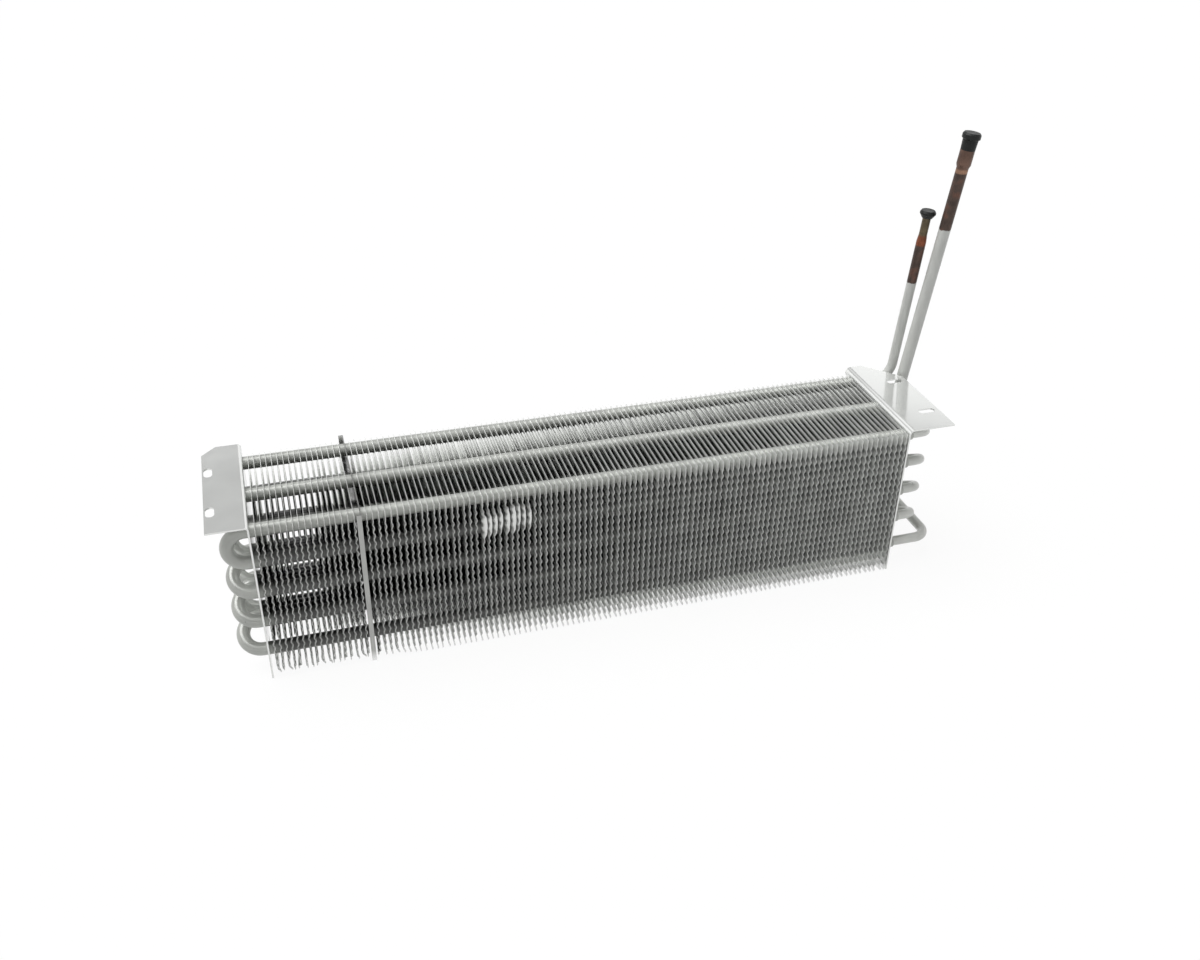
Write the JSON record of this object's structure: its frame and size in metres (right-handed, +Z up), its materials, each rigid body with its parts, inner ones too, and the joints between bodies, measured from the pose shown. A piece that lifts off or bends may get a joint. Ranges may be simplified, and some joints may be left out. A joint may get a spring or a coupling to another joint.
{
  "type": "evaporator coil",
  "caption": "Finned tube evaporator coil with folded end plates, hairpin tubes, return bends, a crossover tube and plugged liquid and suction lines.",
  "frame": {"origin": "on the bottom edge of the left end plate, halfway through its thickness, under the middle column of tubes", "axes": "+X along the coil from the plain end to the end with the lines, +Y from the front edge of the fins to the back, +Z up towards the mounting flanges"},
  "size_m": [0.5866, 0.112, 0.3278],
  "materials": {
    "plate_steel": "galvanised, satin",
    "fin_aluminium": "plain mill surface",
    "coil_tube": "copper tube with a thin grey coat",
    "line_tube": "copper tube, grey paint with bare dark ends",
    "plug_rubber": "black, dull"
  },
  "bodies": {
    "root": {"left_end_plate": "plate_steel", "right_end_plate": "plate_steel", "middle_support": "plate_steel", "fins_left": "fin_aluminium", "fins_mid_left": "fin_aluminium", "fins_mid_right": "fin_aluminium", "fins_right": "fin_aluminium", "hairpin_01": "coil_tube", "hairpin_02": "coil_tube", "hairpin_03": "coil_tube", "hairpin_04": "coil_tube", "hairpin_05": "coil_tube", "hairpin_06": "coil_tube", "hairpin_07": "coil_tube", "hairpin_08": "coil_tube", "hairpin_09": "coil_tube", "hairpin_10": "coil_tube", "hairpin_11": "coil_tube", "hairpin_12": "coil_tube", "return_bend_01": "coil_tube", "return_bend_02": "coil_tube", "return_bend_03": "coil_tube", "return_bend_04": "coil_tube", "return_bend_05": "coil_tube", "return_bend_06": "coil_tube", "return_bend_07": "coil_tube", "return_bend_08": "coil_tube", "return_bend_09": "coil_tube", "return_bend_10": "coil_tube", "crossover_tube": "coil_tube", "liquid_line": "line_tube", "suction_line": "line_tube", "liquid_plug": "plug_rubber", "suction_plug": "plug_rubber"}
  },
  "joints": []
}
